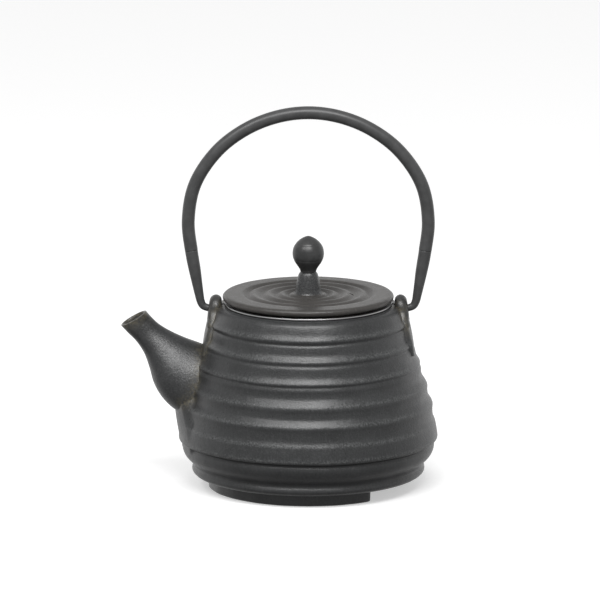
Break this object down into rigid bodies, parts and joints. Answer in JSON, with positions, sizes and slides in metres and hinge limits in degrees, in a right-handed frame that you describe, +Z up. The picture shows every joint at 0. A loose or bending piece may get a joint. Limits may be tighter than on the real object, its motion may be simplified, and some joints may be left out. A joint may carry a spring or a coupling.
{
  "type": "teapot",
  "caption": "Cast-iron teapot with a ribbed body, short spout, ringed lid with an acorn knob, tall bail handle and a lift-out infuser.",
  "frame": {"origin": "centre of the whole object's footprint box, at the level the foot stands on; the pot's own axis is at x = 16.4 mm, y = 0", "axes": "+Z up along the pot's axis; the spout points to -X; the handle's arch lies in the X-Z plane at rest"},
  "size_m": [0.1828, 0.15, 0.222],
  "materials": {
    "pot_iron": "matte grey-black coating with a fine cast grain",
    "lid_iron": "matte grey-black coating, bright worn ring crests",
    "knob_iron": "semi-gloss black",
    "handle_iron": "satin grey-black",
    "infuser_steel": "bright stainless",
    "fastener_steel": "plated"
  },
  "bodies": {
    "pot": {"pot_foot_back": "pot_iron", "pot_foot_front": "pot_iron", "pot_floor": "pot_iron", "pot_wall_lower": "pot_iron", "pot_wall_upper": "pot_iron", "pot_spout": "pot_iron"},
    "bail": {"handle_tube": "handle_iron", "handle_hook_left": "handle_iron", "handle_hook_right": "handle_iron"},
    "infuser": {"infuser_rim": "infuser_steel", "infuser_wall": "infuser_steel", "infuser_base": "infuser_steel"},
    "lid": {"lid": "lid_iron", "lid_knob": "knob_iron", "knob_washer": "fastener_steel", "knob_screw": "fastener_steel"}
  },
  "joints": [
    {"name": "bail_swing", "type": "hinge", "parent": "pot", "child": "bail", "pos_m": [0.0164, 0, 0.104], "axis": [1, 0, 0], "range_deg": [-135, 135]},
    {"name": "infuser_lift", "type": "slide", "parent": "pot", "child": "infuser", "axis": [0, 0, 1], "range_m": [0, 0.064]},
    {"name": "lid_lift", "type": "slide", "parent": "infuser", "child": "lid", "axis": [0, 0, 1], "range_m": [0, 0.06]}
  ]
}
